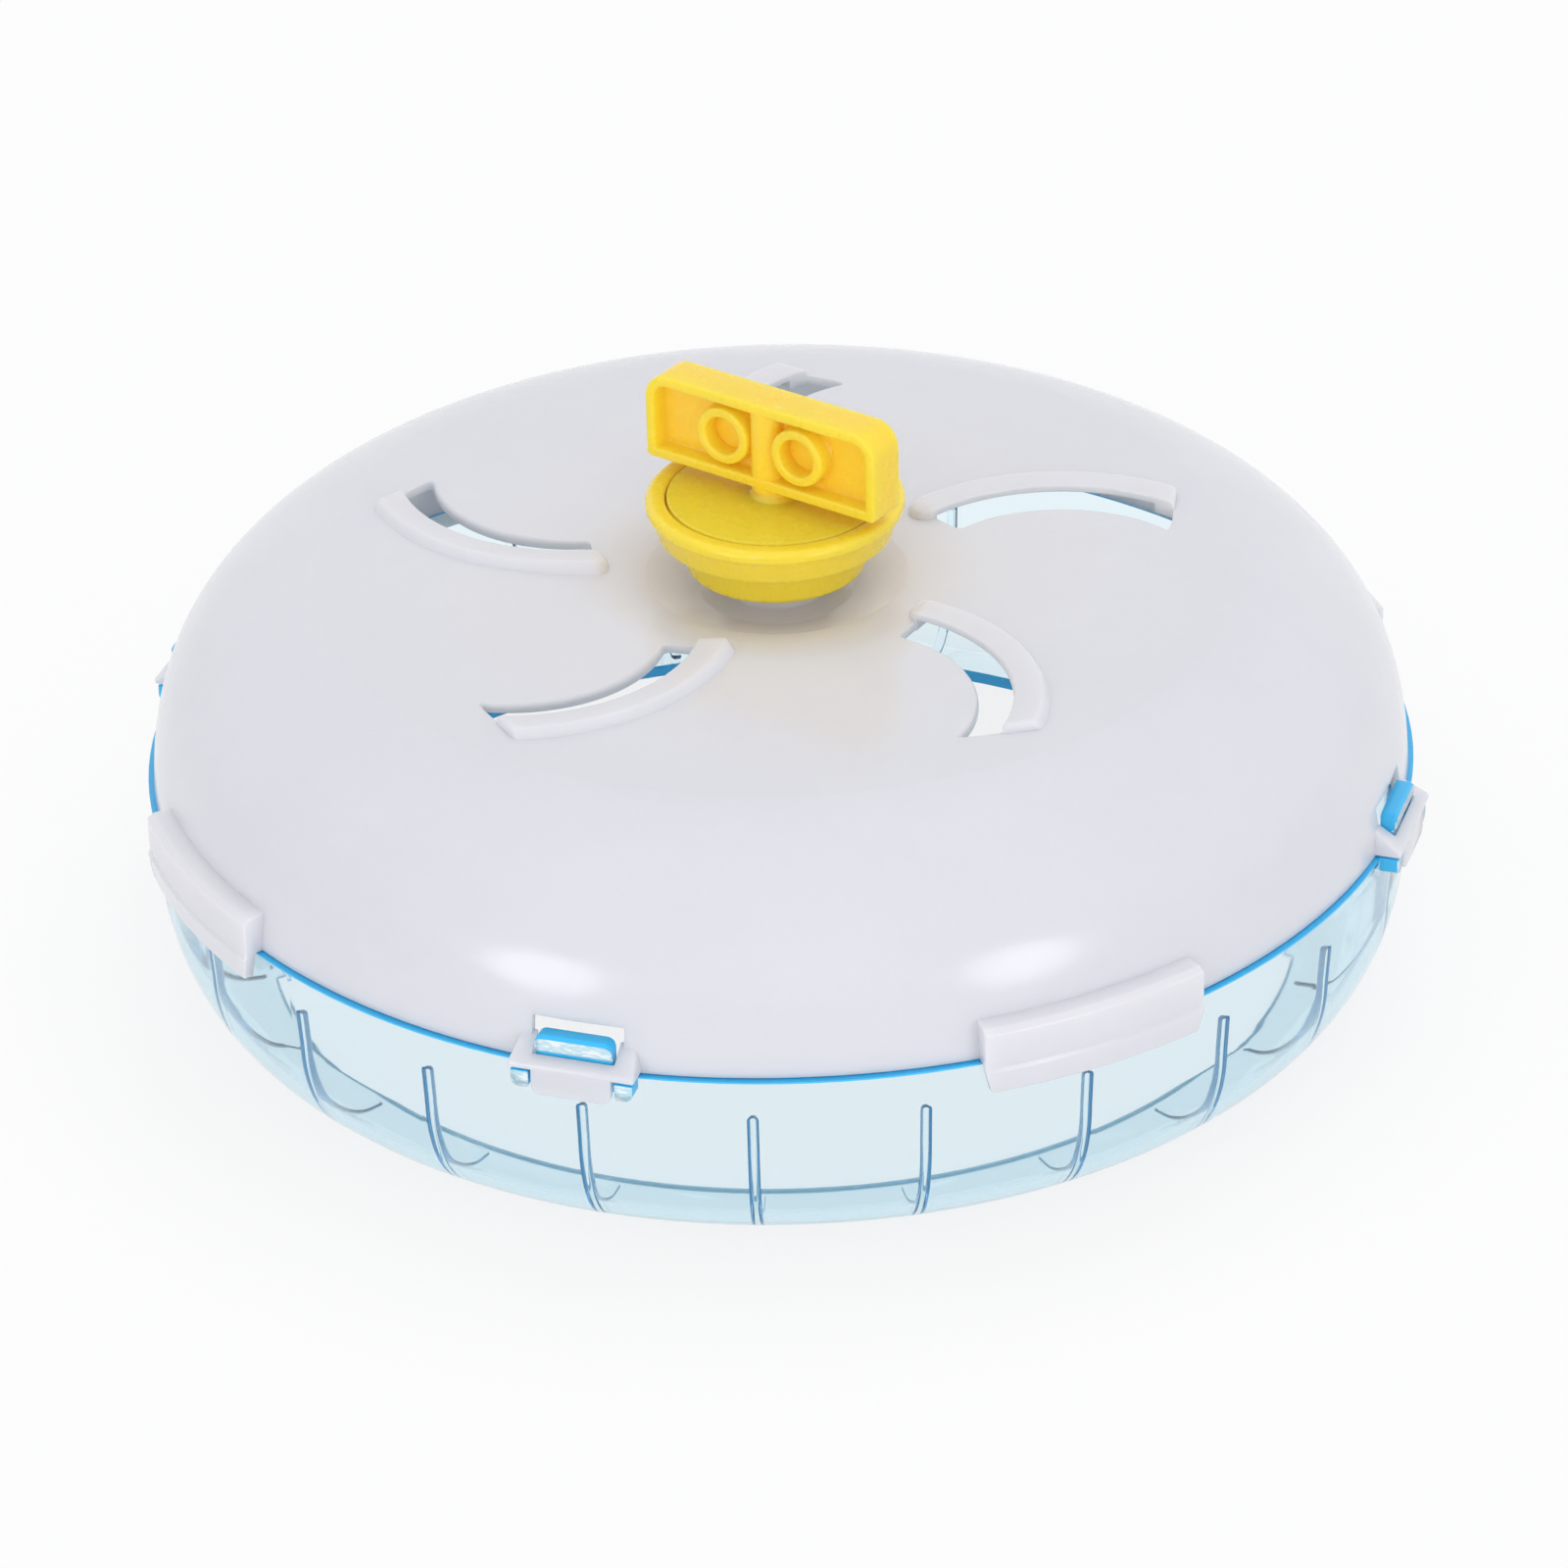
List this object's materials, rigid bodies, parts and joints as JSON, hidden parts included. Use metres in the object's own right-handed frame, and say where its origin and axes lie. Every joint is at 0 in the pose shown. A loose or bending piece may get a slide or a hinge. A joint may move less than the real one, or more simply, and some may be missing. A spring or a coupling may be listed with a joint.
{
  "type": "hamster exercise wheel",
  "caption": "Enclosed exercise wheel for a small pet: two clipped shells turning on a ball bearing in a hub whose key plate holds it to cage bars.",
  "frame": {"origin": "on the axle, at the front rim's lowest face, which the wheel lies on in the picture", "axes": "+Z along the axle, from the open front to the key plate; -Y through one of the four clips"},
  "size_m": [0.144, 0.144, 0.0654],
  "materials": {
    "white": "smooth glossy moulding",
    "blue": "clear tinted moulding, deep blue at its edges",
    "yellow": "smooth glossy moulding",
    "steel": "polished bearing steel",
    "zinc": "zinc plated steel",
    "nylon": "natural nylon"
  },
  "bodies": {
    "mount": {"key_lid": "yellow", "hub_cup": "yellow", "bearing_outer_ring": "steel", "bearing_shield_lower": "zinc", "bearing_shield_upper": "zinc"},
    "wheel": {"back_shell": "white", "front_shell": "blue", "bearing_inner_ring": "steel", "retaining_washer": "zinc", "retaining_screw": "zinc"},
    "cage": {"bearing_cage": "nylon", "bearing_ball_01": "steel", "bearing_ball_02": "steel", "bearing_ball_03": "steel", "bearing_ball_04": "steel", "bearing_ball_05": "steel", "bearing_ball_06": "steel", "bearing_ball_07": "steel", "bearing_ball_08": "steel", "bearing_ball_09": "steel", "bearing_ball_10": "steel"}
  },
  "joints": [
    {"name": "wheel_spin", "type": "hinge", "parent": "mount", "child": "wheel", "pos_m": [0, 0, 0.04845], "axis": [0, 0, 1], "continuous": true},
    {"name": "cage_spin", "type": "hinge", "parent": "mount", "child": "cage", "pos_m": [0, 0, 0.04845], "axis": [0, 0, 1], "continuous": true}
  ],
  "couplings": [
    {"joint": "cage_spin", "follows": "wheel_spin", "ratio": 0.4167}
  ]
}
